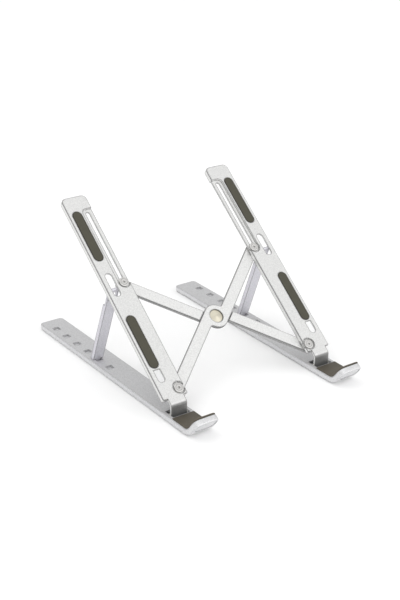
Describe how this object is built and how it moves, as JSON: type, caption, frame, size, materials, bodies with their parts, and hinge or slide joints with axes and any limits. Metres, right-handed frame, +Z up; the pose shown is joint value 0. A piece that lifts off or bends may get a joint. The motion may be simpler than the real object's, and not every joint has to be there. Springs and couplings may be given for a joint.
{
  "type": "folding laptop stand",
  "caption": "Folding aluminium laptop stand: slotted arms on hooked base rails, joined by a riveted scissor link and held at a tilt by props that step into rows of holes.",
  "frame": {"origin": "middle of the footprint, on the table surface under the rubber feet", "axes": "+X to the right of the person using it, +Y to the rear, +Z up; the hooks face -Y"},
  "size_m": [0.176, 0.2427, 0.1397],
  "materials": {
    "anodised_plate": "bead-blasted, silver anodised",
    "anodised_prop": "bead-blasted, silver anodised",
    "rivet_steel": "turned",
    "centre_steel": "turned cone, warm tint",
    "pad_rubber": "matte, olive grey",
    "foot_rubber": "matte",
    "nylon": "natural"
  },
  "bodies": {
    "base_left": {"base_left": "anodised_plate", "hook_liner_left": "pad_rubber", "feet_left": "foot_rubber", "hinge_pin_left": "rivet_steel", "hinge_washers_left": "nylon"},
    "arm_left": {"arm_left": "anodised_plate", "arm_pad_upper_left": "pad_rubber", "arm_pad_lower_left": "pad_rubber", "pivot_rivet_left": "rivet_steel", "pivot_spacer_left": "nylon", "prop_pin_left": "rivet_steel"},
    "prop_left": {"prop_left": "anodised_prop"},
    "base_right": {"base_right": "anodised_plate", "hook_liner_right": "pad_rubber", "feet_right": "foot_rubber", "hinge_pin_right": "rivet_steel", "hinge_washers_right": "nylon"},
    "arm_right": {"arm_right": "anodised_plate", "arm_pad_upper_right": "pad_rubber", "arm_pad_lower_right": "pad_rubber", "pivot_rivet_right": "rivet_steel", "pivot_spacer_right": "nylon", "prop_pin_right": "rivet_steel"},
    "prop_right": {"prop_right": "anodised_prop"},
    "link_a": {"link_a": "anodised_plate", "slider_rivet_right": "rivet_steel", "slider_bush_right": "nylon", "centre_rivet": "centre_steel", "centre_washer": "nylon"},
    "link_b": {"link_b": "anodised_plate", "slider_rivet_left": "rivet_steel", "slider_bush_left": "nylon"}
  },
  "joints": [
    {"name": "arm_tilt", "type": "hinge", "parent": "base_left", "child": "arm_left", "pos_m": [-0.07597, -0.07919, 0.0031], "axis": [1, 0, 0], "range_deg": [0, 40]},
    {"name": "prop_swing_left", "type": "hinge", "parent": "arm_left", "child": "prop_left", "pos_m": [-0.0804, 0.00747, 0.08084], "axis": [1, 0, 0], "range_deg": [-69.6, 0]},
    {"name": "scissor_fold", "type": "hinge", "parent": "arm_left", "child": "link_a", "pos_m": [-0.06925, -0.06894, 0.01867], "axis": [0, -0.6205, 0.7842], "range_deg": [0, 49.8]},
    {"name": "scissor_centre", "type": "hinge", "parent": "link_a", "child": "link_b", "pos_m": [0, -0.02894, 0.05031], "axis": [0, -0.6205, 0.7842], "range_deg": [-99.6, 0]},
    {"name": "scissor_right", "type": "hinge", "parent": "link_b", "child": "arm_right", "pos_m": [0.06925, -0.06894, 0.01867], "axis": [0, -0.6205, 0.7842], "range_deg": [0, 49.8]},
    {"name": "base_fold_right", "type": "hinge", "parent": "arm_right", "child": "base_right", "pos_m": [0.07597, -0.07919, 0.0031], "axis": [1, 0, 0], "range_deg": [-40, 0]},
    {"name": "prop_swing_right", "type": "hinge", "parent": "arm_right", "child": "prop_right", "pos_m": [0.0804, 0.00747, 0.08084], "axis": [1, 0, 0], "range_deg": [-69.6, 0]}
  ],
  "couplings": [
    {"joint": "prop_swing_left", "follows": "arm_tilt", "ratio": -1.74},
    {"joint": "prop_swing_right", "follows": "arm_tilt", "ratio": -1.74},
    {"joint": "base_fold_right", "follows": "arm_tilt", "ratio": -1},
    {"joint": "scissor_centre", "follows": "scissor_fold", "ratio": -2},
    {"joint": "scissor_right", "follows": "scissor_fold", "ratio": 1}
  ]
}
